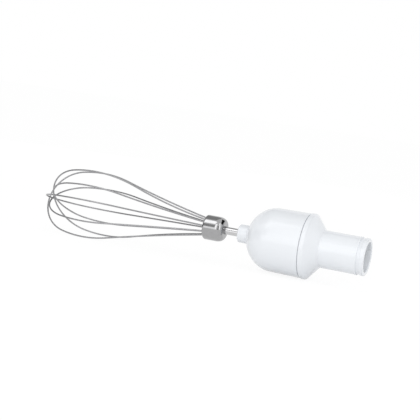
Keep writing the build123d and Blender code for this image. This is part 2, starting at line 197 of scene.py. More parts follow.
# Middle part of a noise's range, where most of its values lie
NOISE_LOW = 0.3
NOISE_HIGH = 0.7


def spread(tree, value, low, high):
    """Spreads a noise's middle part between two values."""
    return add_node(
        tree,
        "ShaderNodeMapRange",
        links={"Value": value, "From Min": NOISE_LOW, "From Max": NOISE_HIGH, "To Min": low, "To Max": high},
    ).outputs["Result"]


def relief(tree, height, depth):
    """Bump of a real depth."""
    return add_node(
        tree, "ShaderNodeBump", links={"Height": height, "Strength": 1.0, "Distance": depth}
    ).outputs["Normal"]


def tinted(tree, factor, first, second):
    """Colour between two colours."""
    inputs = {"Factor": factor, "A": (*first, 1), "B": (*second, 1)}
    return add_node(tree, "ShaderNodeMix", {"data_type": "RGBA"}, inputs).outputs["Result"]


def shade(colour, factor):
    """The colour made darker or lighter."""
    return tuple(channel * factor for channel in colour)


# Cells of noise per metre along a line that goes round
CELLS_ALONG_LINES = 6.0


def ring_lines(tree, place, pitch):
    """Fine lines round the X axis, as turning or polishing leaves them, but coarse enough to show."""
    scale = (1 / pitch, CELLS_ALONG_LINES, CELLS_ALONG_LINES)
    stretched = add_node(tree, "ShaderNodeMapping", links={"Vector": place, "Scale": scale})
    return speckle(tree, stretched.outputs["Vector"], 1.0, 3.0)


def white_abs(colour):
    """Gloss ABS from a polished mould: even and bright, with a faint orange peel in its reflections."""
    settings = {"Roughness": 0.16, "IOR": 1.53}
    material, tree, shader, place = start_material("white gloss ABS", settings)
    clouds = spread(tree, speckle(tree, place, 18 * MM), 0.0, 1.0)
    tree.links.new(tinted(tree, clouds, shade(colour, 0.985), colour), shader.inputs["Base Color"])
    handling = spread(tree, speckle(tree, place, 7 * MM, 4.0), 0.13, 0.19)
    tree.links.new(handling, shader.inputs["Roughness"])
    peel = speckle(tree, place, 1.4 * MM)
    tree.links.new(relief(tree, peel, 0.0015 * MM), shader.inputs["Normal"])
    return material


def polished_steel(colour):
    """Stainless steel, buffed to a mirror: soft smears and the last marks of the wheel round the axis."""
    settings = {"Metallic": 1.0, "Roughness": 0.06}
    material, tree, shader, place = start_material("polished stainless steel", settings)
    smears = spread(tree, speckle(tree, place, 3 * MM, 3.0), 0.0, 1.0)
    tree.links.new(tinted(tree, smears, shade(colour, 0.93), colour), shader.inputs["Base Color"])
    wiped = spread(tree, speckle(tree, place, 1.6 * MM, 4.0), 0.04, 0.11)
    tree.links.new(wiped, shader.inputs["Roughness"])
    lines = ring_lines(tree, place, 0.12 * MM)
    tree.links.new(relief(tree, lines, 0.0002 * MM), shader.inputs["Normal"])
    return material


def ground_steel(colour):
    """Ground stainless bar, brighter and softer than the ferrule, with fine grinding lines round it."""
    settings = {"Metallic": 1.0, "Roughness": 0.16}
    material, tree, shader, place = start_material("ground stainless steel", settings)
    lines = ring_lines(tree, place, 0.1 * MM)
    tree.links.new(tinted(tree, lines, shade(colour, 0.94), colour), shader.inputs["Base Color"])
    wiped = spread(tree, speckle(tree, place, 2 * MM, 3.0), 0.12, 0.2)
    tree.links.new(wiped, shader.inputs["Roughness"])
    return material


def drawn_wire(colour):
    """Bright drawn stainless wire: duller than the ferrule, with dark and light stretches along it."""
    settings = {"Metallic": 1.0, "Roughness": 0.22}
    material, tree, shader, place = start_material("bright drawn steel wire", settings)
    stretches = spread(tree, speckle(tree, place, 5 * MM, 3.0), 0.0, 1.0)
    tree.links.new(tinted(tree, stretches, shade(colour, 0.88), colour), shader.inputs["Base Color"])
    worn = spread(tree, speckle(tree, place, 0.9 * MM, 3.0), 0.24, 0.32)
    tree.links.new(worn, shader.inputs["Roughness"])
    return material


def turned_steel():
    """Fine turned steel of the spindle and the pins, with tool marks round the axis."""
    colour = linear("#A9AAAC")
    settings = {"Metallic": 1.0, "Roughness": 0.28}
    material, tree, shader, place = start_material("turned steel", settings)
    lines = ring_lines(tree, place, 0.15 * MM)
    tree.links.new(tinted(tree, lines, shade(colour, 0.8), colour), shader.inputs["Base Color"])
    tree.links.new(relief(tree, lines, 0.002 * MM), shader.inputs["Normal"])
    return material


def powder_metal(name, colour, grain, roughness):
    """Sintered metal: pressed powder leaves a dull face with open pores."""
    settings = {"Metallic": 1.0, "Roughness": roughness}
    material, tree, shader, place = start_material(name, settings)
    pores = spread(tree, speckle(tree, place, grain, 3.0), 0.0, 1.0)
    tree.links.new(tinted(tree, pores, shade(colour, 0.6), colour), shader.inputs["Base Color"])
    tree.links.new(relief(tree, pores, 0.02 * MM), shader.inputs["Normal"])
    return material


def moulded_plastic(name, colour, roughness, ior, grain):
    """Unpainted moulded plastic with the fine grain of an eroded mould."""
    settings = {"Roughness": roughness, "IOR": ior}
    material, tree, shader, place = start_material(name, settings)
    flow = spread(tree, speckle(tree, place, 4 * MM, 2.0), 0.0, 1.0)
    tree.links.new(tinted(tree, flow, shade(colour, 0.94), colour), shader.inputs["Base Color"])
    texture = speckle(tree, place, grain)
    tree.links.new(relief(tree, texture, 0.006 * MM), shader.inputs["Normal"])
    return material


def arc_points(centre, along, across, start, end, steps):
    """Points of an arc with a radius along the axis and one across it, from angle to angle in degrees."""
    points = []
    for step in range(steps + 1):
        angle = radians(start + (end - start) * step / steps)
        points.append((centre[0] + along * cos(angle), centre[1] + across * sin(angle)))
    return points


# Length of the straight support beside a rounding, as a share of its radius, and the steps of its arc
SUPPORT_SHARE = 0.6
ROUNDING_STEPS = 7


def eased(corners):
    """Closed outline from (x, radius, rounding) corners, each rounding an arc with end supports."""
    points = []
    for place, (x, radius, rounding) in enumerate(corners):
        corner = Vector((x, radius))
        if not rounding:
            points.append(corner)
            continue
        back = (Vector(corners[place - 1][:2]) - corner).normalized()
        ahead = (Vector(corners[(place + 1) % len(corners)][:2]) - corner).normalized()
        half = acos(max(-1.0, min(1.0, back.dot(ahead)))) / 2
        reach = rounding / tan(half)
        centre = corner + (back + ahead).normalized() * (rounding / sin(half))
        first = corner + back * reach - centre
        last = corner + ahead * reach - centre
        turn = first.angle_signed(last)
        support = SUPPORT_SHARE * rounding
        points.append(centre + first + back * support)
        for step in range(ROUNDING_STEPS + 1):
            points.append(centre + Matrix.Rotation(-turn * step / ROUNDING_STEPS, 2) @ first)
        points.append(centre + last + ahead * support)
    return [tuple(point) for point in points]


CREASE_ANGLE = radians(30)
MERGE_DISTANCE = 0.0005 * MM
# A ring nearer to the axis than this is one point
AXIS_REACH = 0.0001 * MM


def linked(name, data):
    """Object with this data, put in the scene."""
    thing = bpy.data.objects.new(name, data)
    bpy.context.scene.collection.objects.link(thing)
    return thing


def finished_mesh(name, mesh):
    """Mesh data of a bmesh, which is freed."""
    data = bpy.data.meshes.new(name)
    mesh.to_mesh(data)
    mesh.free()
    return data


def smoothed(data, crease=CREASE_ANGLE):
    """The mesh, smooth apart from the edges that turn by more than the crease."""
    data.shade_smooth()
    data.set_sharp_from_angle(angle=crease)
    return data


def evaluated_mesh(name, thing):
    """Plain mesh of an object with its modifiers."""
    data = bpy.data.meshes.new_from_object(thing.evaluated_get(bpy.context.evaluated_depsgraph_get()))
    data.name = name
    return data


def turned_mesh(name, outline, sides):
    """Closed mesh turned about the X axis from a closed outline of (x, radius) points."""
    mesh = bmesh.new()
    rings = []
    for x, radius in outline:
        if radius < AXIS_REACH:
            rings.append([mesh.verts.new((x, 0, 0))])
            continue
        rings.append(
            [
                mesh.verts.new((x, radius * cos(2 * pi * side / sides), radius * sin(2 * pi * side / sides)))
                for side in range(sides)
            ]
        )
    for near, far in zip(rings, rings[1:] + rings[:1]):
        if len(near) == 1 and len(far) == 1:
            continue
        for side in range(sides):
            after = (side + 1) % sides
            corners = [near[place % len(near)] for place in (side, after)]
            corners += [far[place % len(far)] for place in (after, side)]
            mesh.faces.new(list(dict.fromkeys(corners)))
    bmesh.ops.recalc_face_normals(mesh, faces=mesh.faces)
    return smoothed(finished_mesh(name, mesh))


def place_piece(name, data, material, body, slot, *nodes):
    """Puts a finished mesh in the scene on its body, in place of its CAD nodes."""
    piece = linked(name, data)
    data.materials.clear()
    data.materials.append(material)
    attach(piece, body)
    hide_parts(*nodes)


def merged_copy(node):
    """Copy of a CAD node's mesh with its triangles merged, smooth apart from its real edges."""
    mesh = bmesh.new()
    mesh.from_mesh(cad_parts[node].data)
    bmesh.ops.remove_doubles(mesh, verts=mesh.verts, dist=MERGE_DISTANCE)
    return smoothed(finished_mesh(node + "_smooth", mesh))


def repaint(material, *nodes):
    """Gives CAD nodes that stay as they are their material."""
    for node in nodes:
        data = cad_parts[node].data
        data.materials.clear()
        data.materials.append(material)


# Bell housing
COLLAR_RADIUS = 7.05 * MM
DOME_RADIUS = 24.25 * MM
DOME_LENGTH = 22.5 * MM
DOME_WALL = 2.5 * MM
BELL_EDGE_RADIUS = 24.6 * MM
COLLAR_LENGTH = 7.1 * MM
BELL_BORE_RADIUS = 21.95 * MM
NOSE_BORE_RADIUS = 5.7 * MM
SPINDLE_HOLE_RADIUS = 4.5 * MM
SEAL_SETBACK = 1.2 * MM
BOSS_WALL = 2.4 * MM
BOSS_LENGTH = 20.6 * MM
RING_SEAT_DEPTH = 25.2 * MM
HOLE_ROUND = 0.25 * MM
COLLAR_ROUND = 1.1 * MM
COLLAR_ROOT_ROUND = 0.5 * MM
EDGE_ROUND = 0.3 * MM
BORE_ROUND = 0.2 * MM
# Degrees from the collar to the start of the dome's arc, which leave room for the rounded root
DOME_START = 4
DOME_STEPS = 56
INNER_STEPS = 24


def bell_outline():
    """Closed outline of the bell: collar, dome, drafted barrel, bore, inner dome and the bush boss."""
    centre_x = COLLAR_FRONT_X + COLLAR_LENGTH + DOME_LENGTH
    inner_length = DOME_LENGTH - DOME_WALL
    inner_radius = DOME_RADIUS - DOME_WALL
    boss_radius = NOSE_BORE_RADIUS + BOSS_WALL
    boss_x = COLLAR_FRONT_X + BOSS_LENGTH
    seat_x = BELL_EDGE_X - RING_SEAT_DEPTH
    root_angle = 180 - degrees(asin(COLLAR_RADIUS / DOME_RADIUS))
    root_x = centre_x + DOME_LENGTH * cos(radians(root_angle))
    seal_x = COLLAR_FRONT_X + SEAL_SETBACK
    dome = arc_points((centre_x, 0), DOME_LENGTH, DOME_RADIUS, root_angle - DOME_START, 90, DOME_STEPS)
    outline = eased(
        [
            (seal_x, SPINDLE_HOLE_RADIUS, 0),
            (COLLAR_FRONT_X, SPINDLE_HOLE_RADIUS, HOLE_ROUND),
            (COLLAR_FRONT_X, COLLAR_RADIUS, COLLAR_ROUND),
            (root_x, COLLAR_RADIUS, COLLAR_ROOT_ROUND),
            (*dome[0], 0),
        ]
    )
    outline += dome[1:-1]
    outline += eased(
        [
            (*dome[-1], 0),
            (BELL_EDGE_X, BELL_EDGE_RADIUS, EDGE_ROUND),
            (BELL_EDGE_X, BELL_BORE_RADIUS, BORE_ROUND),
            (seat_x, BELL_BORE_RADIUS, 0),
        ]
    )
    inner_start = 180 - degrees(acos((centre_x - seat_x) / inner_length))
    inner_end = 180 - degrees(asin(boss_radius / inner_radius))
    outline += arc_points((centre_x, 0), inner_length, inner_radius, inner_start, inner_end, INNER_STEPS)
    outline += [(boss_x, boss_radius), (boss_x, NOSE_BORE_RADIUS), (seal_x, NOSE_BORE_RADIUS)]
    return outline


# Rear cover
NECK_RADIUS = 14.2 * MM
NECK_BORE_RADIUS = 11.3 * MM
RIM_RADIUS = 25.0 * MM
RIM_LENGTH = 3.0 * MM
SHOULDER_LENGTH = 9.0 * MM
SHOULDER_WALL = 2.6 * MM
WEB_THICKNESS = 2.6 * MM
LIP_RADIUS = 21.9 * MM
LIP_WALL = 2.0 * MM
# The rim's step, which closes most of the seam and keeps it a light line
SEAM_STEP_WIDTH = 0.4 * MM
SEAM_STEP_DEPTH = 0.8 * MM
END_RING_LENGTH = 3.2 * MM
LATCH_GROOVE_WIDTH = 2.5 * MM
LATCH_GROOVE_DEPTH = 0.6 * MM
BEAD_LENGTH = 1.6 * MM
BEAD_HEIGHT = 0.25 * MM
INPUT_BORE_RADIUS = 4.0 * MM
INPUT_BOSS_LENGTH = 8.4 * MM
SEAM_X = -(SHOULDER_LENGTH + RIM_LENGTH)
STEP_ROUND = 0.1 * MM
SHOULDER_ROUND = 1.5 * MM
BEAD_ROUND = 0.12 * MM
END_RING_ROUND = 0.24 * MM
MOUTH_ROUND = 0.9 * MM
MOUTH_BORE_ROUND = 0.5 * MM
WEB_ROUND = 0.4 * MM


def cover_outline():
    """Closed outline of the cover: lip, rim, shoulder, neck with bead, groove and end ring, bore and web."""
    slope = (RIM_RADIUS - NECK_RADIUS) / SHOULDER_LENGTH
    wall = SHOULDER_WALL * hypot(1, slope)
    lip_inner_radius = LIP_RADIUS - LIP_WALL
    end_ring_x = MOUTH_X - END_RING_LENGTH
    groove_x = end_ring_x - LATCH_GROOVE_WIDTH
    bead_x = groove_x - BEAD_LENGTH
    bead_radius = NECK_RADIUS + BEAD_HEIGHT
    groove_radius = NECK_RADIUS - LATCH_GROOVE_DEPTH
    boss_radius = INPUT_BORE_RADIUS + BOSS_WALL
    web_x = -WEB_THICKNESS
    return eased(
        [
            (LIP_END_X, lip_inner_radius, BORE_ROUND),
            (LIP_END_X, LIP_RADIUS, EDGE_ROUND),
            (SEAM_X - SEAM_STEP_WIDTH, LIP_RADIUS, 0),
            (SEAM_X - SEAM_STEP_WIDTH, RIM_RADIUS - SEAM_STEP_DEPTH, STEP_ROUND),
            (SEAM_X, RIM_RADIUS - SEAM_STEP_DEPTH, 0),
            (SEAM_X, RIM_RADIUS, EDGE_ROUND),
            (-SHOULDER_LENGTH, RIM_RADIUS, SHOULDER_ROUND),
            (0, NECK_RADIUS, 0),
            (bead_x, NECK_RADIUS, 0),
            (bead_x, bead_radius, BEAD_ROUND),
            (groove_x, bead_radius, BEAD_ROUND),
            (groove_x, groove_radius, 0),
            (end_ring_x, groove_radius, 0),
            (end_ring_x, NECK_RADIUS, END_RING_ROUND),
            (MOUTH_X, NECK_RADIUS, MOUTH_ROUND),
            (MOUTH_X, NECK_BORE_RADIUS, MOUTH_BORE_ROUND),
            (0, NECK_BORE_RADIUS, WEB_ROUND),
            (0, INPUT_BORE_RADIUS, 0),
            (web_x - INPUT_BOSS_LENGTH, INPUT_BORE_RADIUS, 0),
            (web_x - INPUT_BOSS_LENGTH, boss_radius, 0),
            (web_x, boss_radius, 0),
            (web_x, NECK_RADIUS + slope * WEB_THICKNESS - wall, 0),
            (-(lip_inner_radius + wall - NECK_RADIUS) / slope, lip_inner_radius, 0),
        ]
    )


class WHISK_OT_bell(bpy.types.Operator):
    """Moulds the white bell."""

    bl_idname = "whisk.bell"
    bl_label = "Bell housing"

    def execute(self, context):
        housing = context.scene.whisk_housing
        data = turned_mesh("bell_shell", bell_outline(), housing.sides)
        place_piece("bell_shell", data, finishes["white_abs"], "gearbox", "white_plastic", "bell_housing")
        return {"FINISHED"}


class WHISK_OT_cover(bpy.types.Operator):
    """Moulds the white cover with its shoulder and neck."""

    bl_idname = "whisk.cover"
    bl_label = "Rear cover"

    def execute(self, context):
        housing = context.scene.whisk_housing
        data = turned_mesh("cover_shell", cover_outline(), housing.sides)
        place_piece("cover_shell", data, finishes["white_abs"], "gearbox", "white_plastic", "rear_cover")
        return {"FINISHED"}


# Ferrule
FERRULE_WALL = 0.8 * MM
FERRULE_BACK_ROUND = 3.6 * MM
FERRULE_BACK_REACH = 6.0 * MM
FERRULE_FRONT_ROUND = 1.7 * MM
PLUG_RECESS = 0.8 * MM
FERRULE_LIP_ROUND = 0.45 * MM
# Flat strip beside a rounding, so that the shading turns only in the rounding
FLAT_SUPPORT = 0.1 * MM
FRONT_STEPS = 16
BACK_STEPS = 36
LIP_STEPS = 8
INNER_BACK_STEPS = 12


def ferrule_outline():
    """Closed outline of the ferrule, drawn from sheet: mouth, barrel, long back rounding, shaft hole."""
    inner_radius = FERRULE_RADIUS - FERRULE_WALL
    inner_back_x = FERRULE_BACK_X - FERRULE_WALL
    mouth_radius = FERRULE_RADIUS - FERRULE_FRONT_ROUND
    plug_front_x = FERRULE_FRONT_X + PLUG_RECESS
    inner_round = FERRULE_BACK_ROUND - FERRULE_WALL
    inner_reach = FERRULE_BACK_REACH - FERRULE_WALL
    barrel_x = FERRULE_FRONT_X + FERRULE_FRONT_ROUND
    back_x = FERRULE_BACK_X - FERRULE_BACK_REACH
    front, lip = FERRULE_FRONT_ROUND, FERRULE_LIP_ROUND
    lip_middle = (FERRULE_BACK_X - lip, SHAFT_RADIUS + lip)
    back_middle = (back_x, FERRULE_RADIUS - FERRULE_BACK_ROUND)
    inner_middle = (back_x, inner_radius - inner_round)
    back_flat = (back_middle[1] - FLAT_SUPPORT, lip_middle[1] + FLAT_SUPPORT)
    outline = arc_points((barrel_x, mouth_radius), front, front, 180, 90, FRONT_STEPS)
    outline += [(x, FERRULE_RADIUS) for x in (barrel_x + FLAT_SUPPORT, back_x - FLAT_SUPPORT)]
    outline += arc_points(back_middle, FERRULE_BACK_REACH, FERRULE_BACK_ROUND, 90, 0, BACK_STEPS)
    outline += [(FERRULE_BACK_X, radius) for radius in back_flat]
    outline += arc_points(lip_middle, lip, lip, 0, -90, LIP_STEPS)
    outline += [(inner_back_x, SHAFT_RADIUS)]
    outline += arc_points(inner_middle, inner_reach, inner_round, 0, 90, INNER_BACK_STEPS)
    outline += [(plug_front_x, inner_radius), (plug_front_x, mouth_radius)]
    return outline


class WHISK_OT_ferrule(bpy.types.Operator):
    """Draws the polished ferrule."""

    bl_idname = "whisk.ferrule"
    bl_label = "Ferrule"

    def execute(self, context):
        housing = context.scene.whisk_housing
        data = turned_mesh("ferrule_cup", ferrule_outline(), housing.sides)
        place_piece("ferrule_cup", data, finishes["polished_steel"], "whisk", "polished_steel", "ferrule")
        return {"FINISHED"}


# Shaft, round up to its drive tongue
TONGUE_LENGTH = 8.0 * MM
TONGUE_THICKNESS = 4.0 * MM
SHAFT_BEVEL = 0.4 * MM


def shaft_mesh(sides):
    """Turned shaft with two flats milled on its rear end."""
    outline = [
        (SHAFT_FRONT_X, 0),
        (SHAFT_FRONT_X, SHAFT_RADIUS),
        (SHAFT_REAR_X - SHAFT_BEVEL, SHAFT_RADIUS),
        (SHAFT_REAR_X, SHAFT_RADIUS - SHAFT_BEVEL),
        (SHAFT_REAR_X, 0),
    ]
    shaft = linked("shaft_bar", turned_mesh("shaft_bar", outline, sides))
    mesh = bmesh.new()
    for side in (1, -1):
        middle = Vector((SHAFT_REAR_X, 0, side * (TONGUE_THICKNESS / 2 + SHAFT_RADIUS)))
        size = Matrix.Diagonal((2 * TONGUE_LENGTH, 4 * SHAFT_RADIUS, 2 * SHAFT_RADIUS, 1))
        bmesh.ops.create_cube(mesh, size=1, matrix=Matrix.Translation(middle) @ size)
    cutter = linked("flat_cutter", finished_mesh("flat_cutter", mesh))
    cut = shaft.modifiers.new("flats", "BOOLEAN")
    cut.operation = "DIFFERENCE"
    cut.object = cutter
    data = evaluated_mesh("shaft", shaft)
    for helper in (shaft, cutter):
        bpy.data.objects.remove(helper)
    return smoothed(data)


class WHISK_OT_shaft(bpy.types.Operator):
    """Turns the ground shaft and mills its tongue."""

    bl_idname = "whisk.shaft"
    bl_label = "Whisk shaft"

    def execute(self, context):
        data = shaft_mesh(context.scene.whisk_housing.sides // 2)
        place_piece("ground_shaft", data, finishes["ground_steel"], "whisk", "polished_steel", "whisk_shaft")
        return {"FINISHED"}


class WHISK_OT_wires(bpy.types.Operator):
    """Bends the wire loops and sweeps each one's round section along it."""

    bl_idname = "whisk.wires"
    bl_label = "Wire loops"

    def execute(self, context):
        whisk = context.scene.whisk_sizes
        tree = wire_tree()
        ground = -GROUND_Z - whisk.wire_radius
        reaches = [whisk.half_widths[loop] - whisk.offsets[loop] for loop in GROUNDED_LOOPS]
        far_turn, near_turn = (acos(ground / reach) for reach in reaches)
        turns = (-far_turn, *whisk.free_turns[:2], near_turn, whisk.free_turns[2])
        for order, turn in enumerate(turns):
            tip_x = WHISK_TIP_X + whisk.wire_radius + order * whisk.tip_pitch
            path = loop_path(whisk.half_widths[order], whisk.offsets[order], tip_x)
            line = centre_line(f"centre_line_{order + 1}", path, turn)
            data = swept(line, tree, whisk, f"wire_{order + 1}")
            node = f"wire_loop_{order + 1}"
            place_piece(f"whisk_wire_{order + 1}", data, finishes["drawn_wire"], "whisk", "whisk_wire", node)
        return {"FINISHED"}


WIRE_CIRCLE_RADIUS = 7.0 * MM
WIRE_ENTRY_SLOPE = radians(11.4)
STRAIGHT_FLARE_TURN = radians(1)
WIRE_TAIL_LENGTH = 10.0 * MM
CROWN_TURN = radians(77.4)
BELLY_CURVE_RADIUS = 81.0 * MM
ARC_STEP = radians(1.5)
LONG_ARC_STEP = radians(0.6)
LONG_ARC_RADIUS = 50 * MM
WIRE_CREASE_ANGLE = radians(50)
# The loops that lie on the ground, counted from zero
GROUNDED_LOOPS = (0, 3)
SLOPE_LIMIT = 1e-9


def crown_radius_of(half_width):
    """Radius of a loop's round end, tangent to the flatter curve of its belly."""
    return (half_width - BELLY_CURVE_RADIUS * (1 - sin(CROWN_TURN))) / sin(CROWN_TURN)


def belly_end(half_width, offset, tip_x, slope):
    """Place and radius where the belly on one side of a loop has come down to a slope."""
    crown_x = tip_x + crown_radius_of(half_width) * (1 - cos(CROWN_TURN))
    x = crown_x + BELLY_CURVE_RADIUS * (cos(CROWN_TURN) + sin(slope))
    return Vector((x, half_width + offset - BELLY_CURVE_RADIUS * (1 - cos(slope))))


def slopes_of(half_width, offset, tip_x):
    """Slopes on one side of a loop: where its belly ends, and where it enters the ferrule."""
    for straight in (False, True):
        low, high = 0, pi / 4
        while high - low > SLOPE_LIMIT:
            slope = (low + high) / 2
            entry = slope if straight else WIRE_ENTRY_SLOPE
            x, radius = belly_end(half_width, offset, tip_x, slope)
            if radius - WIRE_CIRCLE_RADIUS > (FERRULE_FRONT_X - x) * tan((slope + entry) / 2):
                low = slope
            else:
                high = slope
        # A flare that would hardly bend is a straight line
        if abs(slope - entry) > STRAIGHT_FLARE_TURN:
            return slope, entry
    return slope, slope


def bent_on(points, heading, radius, turn):
    """Goes on from the last point along an arc, and gives the new heading."""
    count = max(4, round(abs(turn) / (LONG_ARC_STEP if radius > LONG_ARC_RADIUS else ARC_STEP)))
    side = 1 if turn > 0 else -1
    centre = points[-1] + side * radius * Vector((-sin(heading), cos(heading)))
    for part in range(1, count + 1):
        now = heading + turn * part / count
        points.append(centre - side * radius * Vector((-sin(now), cos(now))))
    return heading + turn


def loop_path(half_width, offset, tip_x):
    """Centre line of a loop as (x, radius) points, walked from one tail to the other."""
    slope, entry = slopes_of(half_width, offset, tip_x)
    last_slope, last_entry = slopes_of(half_width, -offset, tip_x)
    mouth = Vector((FERRULE_FRONT_X, WIRE_CIRCLE_RADIUS))
    belly = belly_end(half_width, offset, tip_x, slope)
    last_belly = belly_end(half_width, -offset, tip_x, last_slope)
    heading = pi - entry
    points = [mouth - WIRE_TAIL_LENGTH * Vector((cos(heading), sin(heading))), mouth]
    if slope == entry:
        points.append(belly)
    else:
        flare_radius = (FERRULE_FRONT_X - belly.x) / abs(sin(slope) - sin(entry))
        heading = bent_on(points, heading, flare_radius, entry - slope)
    heading = bent_on(points, heading, BELLY_CURVE_RADIUS, pi / 2 - CROWN_TURN + slope)
    heading = bent_on(points, heading, crown_radius_of(half_width), 2 * CROWN_TURN)
    heading = bent_on(points, heading, BELLY_CURVE_RADIUS, pi / 2 - CROWN_TURN + last_slope)
    if last_slope == last_entry:
        points.append(Vector((mouth.x, -mouth.y)))
    else:
        flare_radius = (FERRULE_FRONT_X - last_belly.x) / abs(sin(last_slope) - sin(last_entry))
        heading = bent_on(points, heading, flare_radius, last_entry - last_slope)
    points.append(points[-1] + WIRE_TAIL_LENGTH * Vector((cos(heading), sin(heading))))
    return points


def centre_line(name, path, turn):
    """Curve object through the points of a loop, turned about the axis from +Z towards -Y."""
    curve = bpy.data.curves.new(name, "CURVE")
    curve.dimensions = "3D"
    spline = curve.splines.new("POLY")
    spline.points.add(len(path) - 1)
    for point, (x, radius) in zip(spline.points, path):
        point.co = (x, -radius * sin(turn), radius * cos(turn), 1)
    return linked(name, curve)


def wire_tree():
    """Geometry nodes that sweep a round section along a centre line and close its ends."""
    tree = bpy.data.node_groups.new("round wire along a line", "GeometryNodeTree")
    tree.is_modifier = True
    tree.interface.new_socket("Geometry", in_out="INPUT", socket_type="NodeSocketGeometry")
    tree.interface.new_socket("Wire radius", in_out="INPUT", socket_type="NodeSocketFloat")
    tree.interface.new_socket("Sides", in_out="INPUT", socket_type="NodeSocketInt")
    tree.interface.new_socket("Material", in_out="INPUT", socket_type="NodeSocketMaterial")
    tree.interface.new_socket("Geometry", in_out="OUTPUT", socket_type="NodeSocketGeometry")
    given = add_node(tree, "NodeGroupInput").outputs
    section = add_node(
        tree,
        "GeometryNodeCurvePrimitiveCircle",
        links={"Resolution": given["Sides"], "Radius": given["Wire radius"]},
    )
    swept_wire = add_node(
        tree,
        "GeometryNodeCurveToMesh",
        links={"Curve": given["Geometry"], "Profile Curve": section.outputs["Curve"], "Fill Caps": True},
    )
    real = add_node(tree, "GeometryNodeRealizeInstances", links={"Geometry": swept_wire.outputs["Mesh"]})
    finished = add_node(
        tree,
        "GeometryNodeSetMaterial",
        links={"Geometry": real.outputs["Geometry"], "Material": given["Material"]},
    )
    add_node(tree, "NodeGroupOutput", links={"Geometry": finished.outputs["Geometry"]})
    return tree


def swept(line, tree, whisk, name):
    """Plain mesh of the swept wire. The line and its modifier are removed."""
    modifier = line.modifiers.new("sweep", "NODES")
    modifier.node_group = tree
    values = {
        "Wire radius": whisk.wire_radius,
        "Sides": whisk.wire_sides,
        "Material": finishes["drawn_wire"],
    }
    for item in tree.interface.items_tree:
        if item.in_out == "INPUT" and item.name in values:
            modifier[item.identifier] = values[item.name]
    data = evaluated_mesh(name, line)
    bpy.data.objects.remove(line)
    return smoothed(data, WIRE_CREASE_ANGLE)


class WHISK_OT_inside(bpy.types.Operator):
    """Dresses the plug, the spindle, the coupling and the gear train."""

    bl_idname = "whisk.inside"
    bl_label = "Plug, spindle and gears"

    def execute(self, context):
        for node, finish, body, slot in (
            ("wire_plug", "black_nylon", "whisk", "plug_plastic"),
            ("output_spindle", "turned_steel", "output", "machined_steel"),
            ("spindle_seal", "nitrile", "gearbox", "seal_rubber"),
            ("thrust_washer", "turned_steel", "gearbox", "machined_steel"),
            ("drive_coupling", "acetal", "input", "gear_plastic"),
            ("input_shaft", "turned_steel", "input", "machined_steel"),
        ):
            place_piece(node + "_smooth", merged_copy(node), finishes[finish], body, slot, node)
        planets = [f"{stage}_planet_{number}" for stage in ("first", "second") for number in (1, 2, 3)]
        repaint(finishes["acetal"], "ring_gear", "output_carrier", "first_carrier", *planets)
        pins = ("first_planet_pins", "second_planet_pins", "centre_pin")
        repaint(finishes["turned_steel"], *pins, "shaft_clip")
        repaint(finishes["sintered_steel"], "first_sun", "second_sun")
        repaint(finishes["sintered_bronze"], "nose_bush", "input_bush")
        return {"FINISHED"}


# Where the photograph has the seam of the housing, in its own pixels, and how the axis lies in its view
PHOTO_SIDE = 420
SEAM_PIXEL = (307.44, 246.02)
PIXEL_AT_SEAM = 0.7485 * MM
SENSOR_WIDTH = 36.0
CLIP_RANGE = (0.01, 50)
AXIS_DROP = radians(10.478)
AXIS_TOWARDS_CAMERA = radians(19.7)
ROLL_ABOUT_AXIS = radians(6.5)


def camera_axes():
    """Right, up and backward directions of the camera, in the part's frame."""
    drop, near, roll = AXIS_DROP, AXIS_TOWARDS_CAMERA, ROLL_ABOUT_AXIS
    along = Vector((cos(near) * cos(drop), cos(near) * sin(drop), -sin(near)))
    below = Vector((-sin(drop), cos(drop), 0))
    facing = Vector((-sin(near) * cos(drop), -sin(near) * sin(drop), -cos(near)))
    upward = -cos(roll) * below + sin(roll) * facing
    sideways = upward.cross(along)
    right, down, forward = zip(along, sideways, upward)
    return Vector(right), -Vector(down), -Vector(forward)


class WHISK_OT_stage(bpy.types.Operator):
    """Sets the camera, the white floor, the softboxes, the reflectors and the flags."""

    bl_idname = "whisk.stage"
    bl_label = "Studio"

    def execute(self, context):
        studio = context.scene.whisk_studio
        add_camera(studio)
        add_world(studio)
        add_floor()
        for name, aim, distance, width, height, level in SOFTBOXES:
            add_softbox(name, facing_part(aim, distance), width, height, level * studio.softbox)
        for name, aim, distance, width, height, level in CARDS:
            add_card(name, facing_part(aim, distance), width, height, level)
        return {"FINISHED"}


# Name, direction as right, up and towards the camera, distance, width, height and level
SOFTBOXES = (
    ("left_panel", (-0.75, 0.20, 0.63), 0.90, 0.35, 0.35, 0.78),
    ("front_panel", (0.05, 0.16, 0.98), 1.10, 0.50, 0.35, 1.8),
    ("end_panel", (0.90, 0.20, 0.38), 0.90, 0.35, 0.35, 0.5),
    ("back_panel", (-0.10, 0.22, -0.97), 0.95, 0.50, 0.30, 0.45),
)
# Reflectors and flags, which light nothing and are seen only as reflections
CARDS = (
    ("upper_reflector", (-0.39, 0.83, 0.40), 0.90, 0.26, 0.47, 2.5),
    ("left_reflector", (-0.38, 0.34, 0.86), 0.95, 0.28, 1.05, 2.2),
    ("right_reflector", (0.36, 0.38, 0.85), 0.90, 0.24, 1.00, 2.2),
    ("low_reflector", (-0.76, 0.14, 0.64), 0.85, 0.58, 0.28, 1.7),
    ("camera_flag", (0.0, 0.12, 1.0), 1.10, 0.14, 0.80, 0.12),
    ("gap_flag", (-0.71, 0.48, 0.51), 0.80, 0.58, 0.30, 0.5),
    ("right_flag", (0.74, 0.67, 0.0), 0.75, 0.75, 0.50, 0.02),
    ("far_left_flag", (-0.97, 0.1, 0.1), 0.70, 0.60, 0.60, 0.04),
    ("overhead_flag", (-0.25, 0.92, -0.35), 0.70, 0.90, 0.50, 0.45),
)


